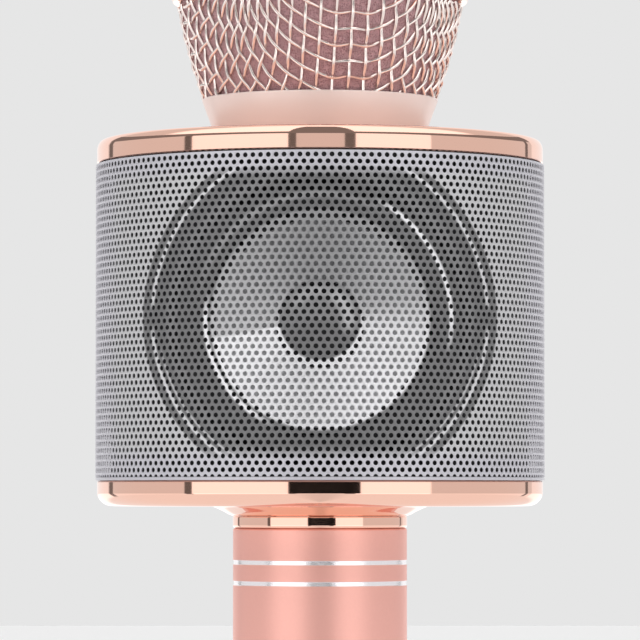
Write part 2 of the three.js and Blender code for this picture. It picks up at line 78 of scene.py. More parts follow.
class Graph:
    """A short way to write a node tree."""

    def __init__(self, tree):
        self.tree = tree

    def node(self, kind, **settings):
        made = self.tree.nodes.new(kind)
        for key, value in settings.items():
            setattr(made, key, value)
        return made

    def feed(self, socket, value):
        if isinstance(value, bpy.types.NodeSocket):
            self.tree.links.new(value, socket)
        else:
            socket.default_value = value

    def math(self, operation, a, b=0.0):
        made = self.node("ShaderNodeMath", operation=operation)
        self.feed(made.inputs[0], a)
        self.feed(made.inputs[1], b)
        return made.outputs[0]

    def times(self, a, b):
        return self.math("MULTIPLY", a, b)

    def remap(self, value, low, high, to_low=0.0, to_high=1.0, kind="SMOOTHSTEP"):
        made = self.node("ShaderNodeMapRange", interpolation_type=kind)
        for socket, v in zip(made.inputs, (value, low, high, to_low, to_high)):
            self.feed(socket, v)
        return made.outputs[0]

    def band(self, value, low, high, soft):
        """1 between low and high, 0 outside, with soft edges."""
        rise = self.remap(value, low - soft, low + soft)
        fall = self.remap(value, high - soft, high + soft, 1.0, 0.0)
        return self.times(rise, fall)

    def mix(self, factor, a, b):
        made = self.node("ShaderNodeMix", data_type="RGBA")
        self.feed(made.inputs["Factor"], factor)
        self.feed(made.inputs[6], a)
        self.feed(made.inputs[7], b)
        return made.outputs[2]

    def level(self, factor, a, b):
        made = self.node("ShaderNodeMix", data_type="FLOAT")
        self.feed(made.inputs["Factor"], factor)
        self.feed(made.inputs[2], a)
        self.feed(made.inputs[3], b)
        return made.outputs[0]

    def noise(self, vector, scale, detail=3.0, roughness=0.5):
        made = self.node("ShaderNodeTexNoise")
        self.feed(made.inputs["Vector"], vector)
        self.feed(made.inputs["Scale"], scale)
        self.feed(made.inputs["Detail"], detail)
        self.feed(made.inputs["Roughness"], roughness)
        return made.outputs["Fac"]

    def uneven(self, vector, scale, low, high):
        """A value that drifts between low and high along the surface."""
        return self.remap(self.noise(vector, scale), 0.3, 0.7, low, high, "LINEAR")

    def place(self, stretch=(1, 1, 1)):
        """Object coordinates, stretched along each axis."""
        coordinates = self.node("ShaderNodeTexCoord").outputs["Object"]
        made = self.node("ShaderNodeMapping")
        self.feed(made.inputs["Vector"], coordinates)
        made.inputs["Scale"].default_value = stretch
        return made.outputs[0]

    def axes(self, vector):
        made = self.node("ShaderNodeSeparateXYZ")
        self.feed(made.inputs[0], vector)
        return made.outputs


# The studio's panels: from one bearing to another in degrees, 0 towards the camera, and how bright.
SOFTBOXES = [(-68.6, -16, 1.28), (18, 58.5, 1.30)]
FLAGS = [
    (-139.2, -133.8, 0.18),
    (-73.2, -68.6, 0.14),
    (-16, -12, 0.16),
    (12.5, 18, 0.16),
    (131.5, 135, 0.18),
]
ROOM_LEVEL = 0.74
CENTRE_LEVEL = 0.72
BEHIND_LEVEL = 1.0
GROUND_LEVEL = 0.95
LOW_BOOST = 1.4  # the panels are brighter near the ground
OVERHEAD_LEVEL = 1.5
GAP_LEVEL = 0.22  # the dark gap between the panels and the overhead light
CARD_LEVEL = 0.012
# Bearings of the front zone, the dark card, the duller ground, the sides and the back.
CENTRE_FROM = (-16, 18)
CARD_FROM = (-15.8, 20.5)
DULL_GROUND_FROM = (-9, 11)
SIDE_FROM = (84, 96)
BEHIND_FROM = (140, 141.5)
# Heights are the upward share of a direction: 0 at the horizon and 1 straight up.
GROUND_TOP = (-0.32, -0.22)
BOOST_TOP = (-0.06, -0.03)
CARD_HEIGHT = (-0.03, 0.045)
GAP_FOOT = (0.19, 0.22)
GAP_TOP = 0.42
CENTRE_GAP_TOP = 0.96


def add_world():
    world = bpy.data.worlds.new("studio")
    world.use_nodes = True
    world.node_tree.nodes.clear()
    g = Graph(world.node_tree)
    x, y, z = g.axes(g.node("ShaderNodeTexCoord").outputs["Generated"])
    bearing = g.times(g.math("ARCTAN2", x, g.times(y, -1.0)), 360 / TAU)
    off_axis = g.math("ABSOLUTE", bearing)
    centre = g.band(bearing, *CENTRE_FROM, 0.3)
    behind = g.remap(off_axis, *BEHIND_FROM)
    panels = g.level(centre, ROOM_LEVEL, CENTRE_LEVEL)
    for low, high, bright in SOFTBOXES + FLAGS:
        panels = g.level(g.band(bearing, low, high, 0.35), panels, bright)
    panels = g.level(behind, panels, BEHIND_LEVEL)
    panels = g.times(panels, g.remap(z, *BOOST_TOP, LOW_BOOST, 1.0))
    ground = g.level(g.band(bearing, *DULL_GROUND_FROM, 8), GROUND_LEVEL, GROUND_LEVEL * 0.8)
    level = g.level(g.remap(z, *GROUND_TOP, 1.0, 0.0), panels, ground)
    card = g.times(g.band(z, *CARD_HEIGHT, 0.01), g.band(bearing, *CARD_FROM, 0.3))
    level = g.level(card, level, CARD_LEVEL)
    overhead = g.level(g.remap(off_axis, *SIDE_FROM), OVERHEAD_LEVEL, ROOM_LEVEL)
    overhead = g.level(behind, overhead, BEHIND_LEVEL)
    gap_top = g.level(centre, GAP_TOP, CENTRE_GAP_TOP)
    gap = g.times(g.remap(z, *GAP_FOOT), g.math("LESS_THAN", z, gap_top))
    level = g.level(g.times(gap, g.math("SUBTRACT", 1.0, behind)), level, GAP_LEVEL)
    level = g.level(g.math("GREATER_THAN", z, gap_top), level, overhead)
    level = g.level(g.node("ShaderNodeLightPath").outputs["Is Camera Ray"], level, PALE)
    background = g.node("ShaderNodeBackground")
    grey = g.node("ShaderNodeCombineColor")
    for socket in grey.inputs[:3]:
        g.feed(socket, level)
    g.feed(background.inputs["Color"], grey.outputs[0])
    g.feed(g.node("ShaderNodeOutputWorld").inputs[0], background.outputs[0])
    scene.world = world


def add_floor():
    """Pale paper that can be seen through from below."""
    half, z = FLOOR_SIZE / 2, -FLOOR_DROP
    corners = [(-half, -half, z), (half, -half, z), (half, half, z), (-half, half, z)]
    floor = mesh_object("floor", corners, [(0, 1, 2, 3)])
    paper = finish("floor_paper", (0.88, 0.88, 0.88), 0, 0.9, mottle=0.01)
    g = Graph(paper.node_tree)
    blend = g.node("ShaderNodeMixShader")
    g.feed(blend.inputs[0], g.node("ShaderNodeNewGeometry").outputs["Backfacing"])
    g.feed(blend.inputs[1], g.tree.nodes["Principled BSDF"].outputs[0])
    g.feed(blend.inputs[2], g.node("ShaderNodeBsdfTransparent").outputs[0])
    g.feed(g.tree.nodes["Material Output"].inputs[0], blend.outputs[0])
    floor.data.materials.append(paper)
    floor.visible_glossy = False


# ---------- Materials ----------


class Surface(Graph):
    """A new material and its shader."""

    def __init__(self, name):
        self.material = bpy.data.materials.new(name)
        self.material.use_nodes = True
        super().__init__(self.material.node_tree)
        self.shader = self.tree.nodes["Principled BSDF"]

    def fill(self, values):
        for name, value in values.items():
            self.feed(self.shader.inputs[name], value)

    def bump(self, height, strength, distance):
        """Relief that is some mm high."""
        made = self.node("ShaderNodeBump")
        self.feed(made.inputs["Strength"], strength)
        self.feed(made.inputs["Distance"], distance * MM)
        self.feed(made.inputs["Height"], height)
        self.feed(self.shader.inputs["Normal"], made.outputs[0])

    def shaded(self, colour, tone):
        """The colour times the tone, which carries painted light and shade."""
        made = self.node("ShaderNodeVectorMath", operation="SCALE")
        self.feed(made.inputs[0], colour)
        self.feed(made.inputs["Scale"], tone)
        return made.outputs[0]


def finish(name, colour, metallic, roughness, mottle=0.04, scale=400, grain=0.0, grain_scale=4000,
           stretch=(1, 1, 1), coat=0.0, sheen=0.0, rough_vary=0.15):
    """A surface with faint colour drift, uneven gloss and a fine grain."""
    g = Surface(name)
    where = g.place(stretch)
    dark = (*(c * (1 - mottle) for c in colour), 1)
    light = (*(min(1, c * (1 + mottle)) for c in colour), 1)
    low, high = roughness * (1 - rough_vary), roughness * (1 + rough_vary)
    g.fill({
        "Base Color": g.mix(g.noise(where, scale), dark, light),
        "Metallic": metallic,
        "Roughness": g.uneven(where, scale * 2.3, low, high),
        "Coat Weight": coat,
        "Coat Roughness": 0.08,
        "Sheen Weight": sheen,
    })
    if grain:
        g.bump(g.noise(where, grain_scale, 2.0, 0.6), grain, 0.05)
    return g.material


ROSE_GOLD = (0.96, 0.60, 0.48)
plated = finish("plated", ROSE_GOLD, 1, 0.05, mottle=0.015, scale=60, rough_vary=0.25)
anodised = finish("anodised", (0.99, 0.52, 0.45), 0.9, 0.42, mottle=0.035, scale=2200, grain=0.25,
                  grain_scale=9000, rough_vary=0.08)
bright_cut = finish("bright_cut", (0.93, 0.90, 0.92), 1, 0.16, mottle=0.02, stretch=(1, 1, 30), grain=0.1)
steel = finish("steel", (0.62, 0.61, 0.63), 1, 0.33, mottle=0.03, grain=0.04, grain_scale=3000)
satin_rose = finish("satin_rose", (0.98, 0.84, 0.79), 0.2, 0.33, mottle=0.02, scale=60, rough_vary=0.1)
disc_satin = finish("disc_satin", ROSE_GOLD, 0.6, 0.4, mottle=0.02, scale=60)
trim_black = finish("trim_black", (0.05, 0.05, 0.055), 0.6, 0.4, mottle=0.08, grain=0.2)
wire = finish("head_wire", (0.97, 0.84, 0.79), 1, 0.23, mottle=0.05, grain=0.1)
black_plastic = finish("black_plastic", (0.022, 0.022, 0.024), 0, 0.5, mottle=0.15, grain=0.5,
                       grain_scale=2500)
rim_black = finish("rim_black", (0.012, 0.011, 0.012), 0, 0.6, mottle=0.1, grain=0.3)
panel_plastic = finish("panel_plastic", (0.78, 0.40, 0.34), 0.35, 0.22, mottle=0.02, coat=0.5,
                       grain=0.05)
white_print = finish("white_print", (0.9, 0.88, 0.87), 0, 0.45, mottle=0.03, grain=0.1)
rubber = finish("rubber", (0.02, 0.02, 0.022), 0, 0.34, mottle=0.12, grain=0.3, grain_scale=1500)
ferrite = finish("ferrite", (0.05, 0.05, 0.055), 0.1, 0.6, mottle=0.2, grain=0.6, grain_scale=1500)
copper = finish("copper_winding", (0.72, 0.36, 0.18), 0.9, 0.3, mottle=0.1, scale=2500,
                stretch=(0.1, 6, 0.1))
cloth = finish("spider_cloth", (0.55, 0.36, 0.14), 0, 0.85, mottle=0.2, scale=1800, grain=0.8, sheen=0.3)
lamp = finish("light_pipe", (0.45, 0.68, 1.0), 0, 0.12, mottle=0.05, coat=0.6)
wrap = finish("cell_wrap", (0.05, 0.22, 0.50), 0, 0.3, mottle=0.04, coat=0.4)
solder_mask = finish("solder_mask", (0.02, 0.22, 0.09), 0, 0.35, mottle=0.25, scale=600, coat=0.3)
jacket = finish("wire_jacket", (0.50, 0.03, 0.02), 0, 0.4, mottle=0.06, grain=0.1)


def foam_surface():
    """Open-cell foam: pale cell walls, with painted shade darkening the pores between them."""
    g = Surface("open_cell_foam")
    cells = g.node("ShaderNodeTexVoronoi", feature="DISTANCE_TO_EDGE")
    g.feed(cells.inputs["Vector"], g.place())
    g.feed(cells.inputs["Scale"], 2600)
    wall = g.remap(cells.outputs["Distance"], 0.02, 0.35, 1.0, 0.0)
    # Painted shade: the pores are darker than the cell walls.
    g.fill({
        "Base Color": g.mix(wall, (0.46, 0.21, 0.225, 1), (0.72, 0.42, 0.44, 1)),
        "Roughness": 0.95,
        "Sheen Weight": 0.4,
    })
    g.bump(wall, 0.9, 0.2)
    return g.material


def cone_surface(centre):
    """Metallised film with faint pressed rings about the loudspeaker's axis, and a painted reflection of
    the studio in its colour.
    """
    g = Surface("metallised_film")
    where = g.place()
    rho, up, right = dial(g, where, centre)
    film = g.mix(g.noise(where, 250), (0.60, 0.60, 0.62, 1), (0.70, 0.70, 0.72, 1))
    g.fill({
        "Base Color": g.shaded(film, painted_film_reflection(g, up, right)),
        "Metallic": 0.4,
        "Roughness": g.uneven(where, 700, 0.40, 0.50),
    })
    g.bump(g.math("SINE", g.times(rho, TAU / 0.6)), 0.12, 0.05)
    return g.material


def dial(g, where, centre, rise=0.0):
    """Polar coordinates about the loudspeaker's axis: radius in mm, and how far up and right."""
    x, _, z = g.axes(where)
    height = g.math("SUBTRACT", z, centre.z + rise * MM)
    radius = g.math("SQRT", g.math("ADD", g.times(x, x), g.times(height, height)))
    safe = g.math("MAXIMUM", radius, 1e-4)
    rho = g.math("DIVIDE", radius, MM)
    return rho, g.math("DIVIDE", height, safe), g.math("DIVIDE", x, safe)


def towards(g, up, right, degrees, near, far):
    """1 within some degrees of a bearing on the dial, anticlockwise from the right, and 0 further off."""
    a = math.radians(degrees)
    match = g.math("ADD", g.times(right, math.cos(a)), g.times(up, math.sin(a)))
    return g.remap(match, math.cos(math.radians(far)), math.cos(math.radians(near)))


# Painted reflection in the film: its tone in the dull upper half and in the bright lower half, and the
# painted glints.
FILM_DULL = (0.54, 0.29)  # the tone at the top, and how much brighter it is at the height of the axis
FILM_BRIGHT = 1.28
FILM_GLINT = 1.40
PAINTED_FILM_GLINTS = [(201, 9, 26), (300, 10, 40)]  # bearing on the dial, and how wide it is full and spread


def painted_film_reflection(g, up, right):
    """Painted reflection of the studio in the loudspeaker's film: dull in its upper half, bright in the
    lower one, with painted glints.
    """
    at_top, gain = FILM_DULL
    upper = g.math("ADD", at_top, g.times(g.math("SUBTRACT", 1.0, up), gain))
    lower = FILM_BRIGHT
    for bearing, near, far in PAINTED_FILM_GLINTS:
        lower = g.level(towards(g, up, right, bearing, near, far), lower, FILM_GLINT)
    line = g.math("ADD", g.math("SUBTRACT", up, g.times(right, 0.1)), 0.07)
    soft = g.remap(right, -0.2, 0.6, 0.03, 0.26)
    edge = g.remap(line, g.times(soft, -1.0), soft)
    return g.level(edge, lower, upper)


GRILLE_BASE = (0.642, 0.629, 0.679, 1)
SEEN_BASE = (0.638, 0.634, 0.650, 1)  # in front of the loudspeaker
OUTER_RING_RISE = 0.7  # the painted highlight of the outer ring sits this far above the axis, in mm
# Rings of the loudspeaker painted on the sheet: inner and outer radius, softness and tone. The outer ring
# and the low line are painted highlights, and the crest a faint one.
LAND_TONE = 0.31
CREST = (25.4, 27.3, 0.6, 0.39)
LOW_LINE = (28.6, 28.95, 0.15, 0.85)
OUTER_RING = (29.55, 30.2, 0.2, 1.15)
DARK_LINE = (30.35, 31.5, 0.2, 0.34)
SHEET_FROM = (31.35, 31.75)  # the plain sheet starts here
# Painted highlights on edges: a ring, and its bearing on the dial, how wide it is full and spread.
PAINTED_HIGHLIGHT_ARCS = [
    ((21.5, 22.6, 0.4, 0.52), (112, 20, 60)),
    ((19.8, 20.6, 0.25, 1.4), (206, 24, 42)),
    ((22.85, 23.6, 0.2, 1.4), (26, 24, 42)),
]
FILM_R = 19.35
DOME_R = 7.15
# Painted glints of the dome, in the same way, and their strength.
PAINTED_DOME_GLINTS = [
    ((3.9, 6.0, 0.9, 0.85), (24, 14, 60), 1.0),
    ((4.2, 6.0, 0.9, 0.85), (114, 10, 50), 0.6),
]
SEEN_BELOW = 23.4  # how far the painted loudspeaker reaches below and above its axis, in mm
SEEN_ABOVE = 26.3


def ring(g, rho, tone, low, high, soft, bright, share=1.0):
    """The tone with a ring of another tone laid over it."""
    return g.level(g.times(g.band(rho, low, high, soft), share), tone, bright)


def painted_speaker_and_highlights(g, where, centre):
    """The loudspeaker painted on the sheet in front of it, as a tone of the sheet: its rings, with painted
    highlights, painted glints and the film's painted reflection.
    """
    rho, up, right = dial(g, where, centre)
    tone = ring(g, rho, LAND_TONE, *CREST)
    for arc, spread in PAINTED_HIGHLIGHT_ARCS:
        tone = ring(g, rho, tone, *arc, towards(g, up, right, *spread))
    tone = ring(g, rho, tone, 0, FILM_R, 0.35, painted_film_reflection(g, up, right))
    # Painted light: the dome is lighter towards its top.
    dome = g.remap(up, -0.8, 0.6, 0.33, 0.44)
    for glint, spread, share in PAINTED_DOME_GLINTS:
        dome = ring(g, rho, dome, *glint, g.times(towards(g, up, right, *spread), share))
    tone = ring(g, rho, tone, 0, DOME_R, 0.25, dome)
    rho, up, right = dial(g, where, centre, OUTER_RING_RISE)
    tone = ring(g, rho, tone, *OUTER_RING, g.remap(g.math("ABSOLUTE", up), 0.03, 0.12))
    tone = ring(g, rho, tone, *LOW_LINE, g.remap(up, -0.35, -0.15, 1.0, 0.0))
    tone = ring(g, rho, tone, *DARK_LINE)
    return g.level(g.remap(rho, *SHEET_FROM), tone, 1.0)


def grille_surface(centre):
    """Satin coat on the perforated sheet. Before the loudspeaker, the loudspeaker is painted into its
    colour, with painted highlights and painted reflections.
    """
    g = Surface("satin_sheet")
    where = g.place()
    _, y, z = g.axes(where)
    # Where the loudspeaker is painted: before it, on the front of the sheet.
    well = g.band(z, centre.z - SEEN_BELOW * MM, centre.z + SEEN_ABOVE * MM, 1.5 * MM)
    well = g.times(well, g.remap(y, -0.022, -0.014, 1.0, 0.0))
    tone = g.level(well, 1.0, painted_speaker_and_highlights(g, where, centre))
    g.fill({
        "Base Color": g.shaded(g.mix(well, GRILLE_BASE, SEEN_BASE), tone),
        "Metallic": 0.35,
        "Roughness": g.uneven(where, 900, 0.36, 0.46),
    })
    g.bump(g.noise(where, 6000), 0.15, 0.03)
    return g.material


# ---------- Mesh helpers, all in millimetres ----------


def circle(r, count=32, x=0.0, y=0.0):
    """Points of a circle about [x, y]."""
    turns = [TAU * i / count for i in range(count)]
    return [(x + r * math.cos(a), y + r * math.sin(a)) for a in turns]


def outline_arc(r, z, radius, start, end, steps=8):
    """Points of an arc in a profile, about [r, z], from one angle to another in degrees."""
    angles = np.radians(np.linspace(start, end, steps + 1))
    return [(r + radius * math.cos(a), z + radius * math.sin(a)) for a in angles]


def turned(profile, facets=SMOOTH):
    """Vertices and faces of a profile turned about Z. It closes on itself, or runs from axis to axis."""
    solid_core = profile[0][0] == 0 and profile[-1][0] == 0
    vertices, faces = [], []
    rings = []
    for r, z in profile:
        points = [(x, y, z) for x, y in circle(r, facets)] if r else [(0, 0, z)]
        rings.append(list(range(len(vertices), len(vertices) + len(points))))
        vertices += points
    pairs = list(zip(rings, rings[1:])) + ([] if solid_core else [(rings[-1], rings[0])])
    for a, b in pairs:
        for i in range(facets):
            j = (i + 1) % facets
            if len(a) == 1:
                faces.append((a[0], b[j], b[i]))
            elif len(b) == 1:
                faces.append((a[i], a[j], b[0]))
            else:
                faces.append((a[i], a[j], b[j], b[i]))
    return vertices, faces


def swept(near, far):
    """Two copies of a closed outline with faces between them."""
    n = len(near)
    faces = [tuple(range(n)), tuple(range(2 * n - 1, n - 1, -1))]
    faces += [(i, (i + 1) % n, n + (i + 1) % n, n + i) for i in range(n)]
    return near + far, faces


def prism(outline, y0, y1):
    """A closed outline of (x, z) points carried from y0 to y1."""
    return swept([(x, y0, z) for x, z in outline], [(x, y1, z) for x, z in outline])


def block(low, high):
    (x0, y0, z0), (x1, y1, z1) = low, high
    return prism([(x0, z0), (x1, z0), (x1, z1), (x0, z1)], y0, y1)


def stadium_outline(width, z0, z1, n=16):
    r = width / 2
    top = [(r * math.cos(a), z1 - r + r * math.sin(a)) for a in np.linspace(0, math.pi, n)]
    foot = [(r * math.cos(a), z0 + r + r * math.sin(a)) for a in np.linspace(math.pi, TAU, n)]
    return top + foot


def spun(shape, degrees):
    """The shape turned about the handle's axis."""
    a = math.radians(degrees)
    c, s = math.cos(a), math.sin(a)
    return [(x * c - y * s, x * s + y * c, z) for x, y, z in shape[0]], shape[1]


def joined(*shapes):
    vertices, faces = [], []
    for vs, fs in shapes:
        start = len(vertices)
        vertices += list(vs)
        faces += [tuple(i + start for i in f) for f in fs]
    return vertices, faces


def mesh_object(name, vertices, faces):
    mesh = bpy.data.meshes.new(name)
    mesh.from_pydata([tuple(c * MM for c in v) for v in vertices], [], [list(f) for f in faces])
    obj = bpy.data.objects.new(name, mesh)
    scene.collection.objects.link(obj)
    return obj


def closed_object(name, shape):
    """An object from vertices and faces, with its faces turned outward."""
    obj = mesh_object(name, *shape)
    edit = bmesh.new()
    edit.from_mesh(obj.data)
    bmesh.ops.recalc_face_normals(edit, faces=edit.faces)
    edit.to_mesh(obj.data)
    edit.free()
    return obj


def shade(obj, degrees):
    """Smooth shading, with a crease wherever faces meet at more than some degrees."""
    obj.data.shade_smooth()
    obj.data.set_sharp_from_angle(angle=math.radians(degrees))


def dress(obj, surfaces, body, replaces=None, sharp=32):
    """Gives an object its materials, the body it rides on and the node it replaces."""
    shade(obj, sharp)
    for surface in surfaces if isinstance(surfaces, list) else [surfaces]:
        obj.data.materials.append(surface)
    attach(obj, body)
    if replaces:
        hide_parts(replaces)


def piece(name, shape, surfaces, body, replaces=None, sharp=32):
    obj = closed_object(name, shape)
    dress(obj, surfaces, body, replaces, sharp)
    return obj


def paint(obj, index, test):
    """Gives a material to the faces whose middle, as radius and height, passes the test."""
    for face in obj.data.polygons:
        middle = face.center
        if test(math.hypot(middle.x, middle.y) / MM, middle.z / MM):
            face.material_index = index


def apply_modifiers(obj):
    depsgraph = bpy.context.evaluated_depsgraph_get()
    made = bpy.data.meshes.new_from_object(obj.evaluated_get(depsgraph))
    obj.modifiers.clear()
    obj.data = made


def soften(obj, width):
    """Rounds the sharp edges by a width in mm."""
    modifier = obj.modifiers.new("edges", "BEVEL")
    modifier.width = width * MM
    modifier.segments = 3
    modifier.limit_method = "ANGLE"
    modifier.angle_limit = math.radians(40)
    apply_modifiers(obj)
    shade(obj, 40)


def cut(obj, *shapes, operation="DIFFERENCE"):
    """Takes shapes out of the object, or keeps only what lies inside them."""
    for shape in shapes:
        tool = closed_object("tool", shape)
        modifier = obj.modifiers.new("cut", "BOOLEAN")
        modifier.operation = operation
        modifier.solver = "EXACT"
        modifier.object = tool
        apply_modifiers(obj)
        bpy.data.objects.remove(tool)
    shade(obj, 32)


def box_mm(node):
    low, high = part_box(node)
    return low / MM, high / MM


def middle_z(node):
    low, high = box_mm(node)
    return (low.z + high.z) / 2


# ---------- Handle ----------

HANDLE_WALL = 1.5
HANDLE_EDGE = 0.25
GROOVE_WIDTH = 0.85
GROOVE_DEPTH = 0.14
GROOVE_SLOPE = 0.08
GROOVE_PITCH = 3.8
UPPER_GROOVE_Z = 118.3
LOWER_GROOVE_Z = 11
END_CAP_RIM = 3.0  # height of the end cap's visible part
END_CAP_ROUND = 1.0
SOCKET_GAP = 0.25
AHEAD = -20  # cuts into the front of the handle start here, in y


def groove_points(radius, z):
    half = GROOVE_WIDTH / 2
    floor = radius - GROOVE_DEPTH
    return [
        (radius, z - half), (floor, z - half + GROOVE_SLOPE),
        (floor, z + half - GROOVE_SLOPE), (radius, z + half),
    ]


def build_handle():
    low, high = box_mm("handle_tube")
    radius = high.x
    bore = radius - HANDLE_WALL
    edge = HANDLE_EDGE
    heights = [
        LOWER_GROOVE_Z, LOWER_GROOVE_Z + GROOVE_PITCH,
        UPPER_GROOVE_Z - GROOVE_PITCH, UPPER_GROOVE_Z,
    ]
    profile = [(bore, low.z), (radius - edge, low.z), (radius, low.z + edge)]
    for z in heights:
        profile += groove_points(radius, z)
    profile += [(radius, high.z - edge), (radius - edge, high.z), (bore, high.z)]
    tube = piece("handle_tube_skin", turned(profile), [anodised, bright_cut], "handle", "handle_tube")
    low, high = box_mm("control_panel")
    window = stadium_outline(PANEL_WIDTH + 0.3, low.z + PANEL_EDGE - 0.15, high.z - PANEL_EDGE + 0.15)
    cut(tube, prism(window, AHEAD, -8))
    half = GROOVE_WIDTH / 2
    paint(tube, 1, lambda r, z: r > bore + 0.5 and any(abs(z - h) < half for h in heights))


def build_end_cap():
    low, high = box_mm("end_cap")
    radius, rim = high.x, END_CAP_RIM
    spigot = radius - HANDLE_WALL - 0.3
    flat = radius - END_CAP_ROUND
    profile = [
        (0, 0), (flat, 0), *outline_arc(flat, END_CAP_ROUND, END_CAP_ROUND, -90, 0),
        (radius, rim - 0.35), (radius - 0.2, rim - 0.15), (spigot, rim - 0.15),
        (spigot, high.z), (spigot - 2, high.z), (spigot - 2, rim), (0, rim),
    ]
    cap = piece("end_cap_plated", turned(profile), plated, "handle", "end_cap")
    low, high = box_mm("charge_port")
    cut(cap, block((low.x - SOCKET_GAP, low.y - 0.2, -1), (high.x + SOCKET_GAP, high.y + 0.2, 4)))
    low, high = box_mm("audio_jack")
    y, r = (low.y + high.y) / 2, high.x + 0.3
    well = turned([(0, -1), (r, -1), (r, 4), (0, 4)], 40)
    recess = turned([(0, -1), (2.5, -1), (2.5, 1.7), (0, 1.7)], 40)
    cut(cap, ([(a, b + y, c) for a, b, c in well[0]], well[1]), recess)
    head = turned([(0, 0.5), (1.6, 0.5), *outline_arc(1.8, 0.9, 0.4, -90, 0, 4), (2.2, 1.6), (0, 1.6)], 40)
    screw = piece("end_cap_screw_head", head, steel, "handle", "end_cap_screw")
    cut(screw, block((-1.3, -0.28, 0), (1.3, 0.28, 1.1)), block((-0.28, -1.3, 0), (0.28, 1.3, 1.1)))


def build_neck_ring():
    low, high = box_mm("neck_ring")
    radius, bore = high.x + 0.05, 14.5
    profile = [
        (bore, low.z + 0.03), *outline_arc(radius - 0.55, low.z + 0.58, 0.55, -90, 0, 6),
        (radius, low.z + 0.63), (radius, high.z - 0.45),
        *outline_arc(radius - 0.25, high.z - 0.4, 0.25, 0, 90, 4), (bore, high.z - 0.15),
    ]
    piece("neck_ring_plated", turned(profile), plated, "handle", "neck_ring")


# ---------- Controls ----------

PANEL_WIDTH = 14.6
PANEL_BACK_R = 13.0
PANEL_EDGE = 1.5  # the plate leaves out the ends that hide under the tube
KEYS = ["power_button", "mode_button", "previous_button", "play_button", "next_button"]
FADER_ANGLES = {"mic_volume_fader": -16.3, "music_volume_fader": 0, "echo_fader": 16.3}
KEY_GAP = 0.15
KEY_FLANGE = 0.5  # how much wider a key is behind the plate
LAMP_HOLE_R = 1.05
SLOT_WIDTH = 1.8
SLOT_REACH = 7.5
PRINT_RISE = 0.09


def key_radius(node):
    low, high = box_mm(node)
    return (high.x - low.x) / 2 - KEY_FLANGE


def fader_ticks(radius, z):
    """Level marks on both sides of every slot, with every third one longer."""
    ticks = []
    for degrees in FADER_ANGLES.values():
        for step in range(7):
            dz = -6 + 2 * step
            half = (0.55 if step % 3 == 0 else 0.3) / 2
            for x in (-1.75, 1.75):
                low = (x - half, -radius - 0.04, z + dz - 0.08)
                high = (x + half, -radius + 0.3, z + dz + 0.08)
                ticks.append(spun(block(low, high), degrees))
    return joined(*ticks)


def build_panel():
    low, high = box_mm("control_panel")
    radius = -low.y
    z0, z1 = low.z + PANEL_EDGE, high.z - PANEL_EDGE
    ring = [(PANEL_BACK_R, z0 - 3), (radius, z0 - 3), (radius, z1 + 3), (PANEL_BACK_R, z1 + 3)]
    plate = piece("control_plate", turned(ring, 256), panel_plastic, "handle", "control_panel")
    cut(plate, prism(stadium_outline(PANEL_WIDTH, z0, z1, 24), AHEAD, -5), operation="INTERSECT")
    for node in KEYS:
        cut(plate, prism(circle(key_radius(node) + KEY_GAP, 48, 0, middle_z(node)), AHEAD, -8))
    cut(plate, prism(circle(LAMP_HOLE_R, 32, 0, middle_z("status_light")), AHEAD, -8))
    z = middle_z("music_volume_fader")
    for degrees in FADER_ANGLES.values():
        slot = prism(stadium_outline(SLOT_WIDTH, z - SLOT_REACH, z + SLOT_REACH, 8), AHEAD, -11)
        cut(plate, spun(slot, degrees))
    soften(plate, 0.12)
    piece("fader_ticks", fader_ticks(radius, z), white_print, "handle")


def key_shape(r, z, face_r, back_y):
    """A round key that follows the handle's curve, with a softened rim."""
    rings = [
        (0.0, 0.05), (0.35 * r, 0.04), (0.7 * r, 0.0), (r - 0.45, -0.03),
        (r - 0.2, -0.09), (r - 0.06, -0.22), (r, -0.42),
    ]
    n = 64
    vertices = [(0, -face_r - rings[0][1], z)]
    for radius, rise in rings[1:]:
        for x, dz in circle(radius, n):
            vertices.append((x, -math.sqrt(face_r**2 - x * x) - rise, z + dz))
    vertices += [(x, back_y, z + dz) for x, dz in circle(r, n)]
    faces = [(0, 1 + i, 1 + (i + 1) % n) for i in range(n)]
    for a in range(1, 1 + (len(rings) - 1) * n, n):
        faces += [(a + i, a + n + i, a + n + (i + 1) % n, a + (i + 1) % n) for i in range(n)]
    last = len(vertices) - n
    faces.append(tuple(range(last, last + n)))
    return vertices, faces


def triangle(x, z, size, direction=1):
    reach = direction * size / 2
    return [(x - reach, z - size / 2), (x + reach, z), (x - reach, z + size / 2)]


def bar(x, z, width, height):
    w, h = width / 2, height / 2
    return [(x - w, z - h), (x + w, z - h), (x + w, z + h), (x - w, z + h)]


def power_mark(z, r):
    """An open ring with a stroke in its gap."""
    outer = outline_arc(0, z, r, 130, 410, 19)
    inner = outline_arc(0, z, r - 0.3, 130, 410, 19)
    ring = [[outer[i], outer[i + 1], inner[i + 1], inner[i]] for i in range(19)]
    return ring + [bar(0, z + r * 0.62, 0.3, r * 0.95)]


def key_mark(node, z):
    """The outlines printed on a key."""
    if node == "power_button":
        return power_mark(z, 1.25)
    if node == "mode_button":
        return [bar(x, z - 0.66 + h / 2, 0.32, h) for x, h in ((-0.62, 0.6), (0, 1.0), (0.62, 1.4))]
    if node == "previous_button":
        return [triangle(0.15, z, 1.1, -1), triangle(0.95, z, 1.1, -1), bar(-0.65, z, 0.25, 1.2)]
    if node == "next_button":
        return [triangle(-0.15, z, 1.1), triangle(-0.95, z, 1.1), bar(0.65, z, 0.25, 1.2)]
    return [triangle(-0.6, z, 1.6), bar(0.75, z, 0.35, 1.6), bar(1.4, z, 0.35, 1.6)]


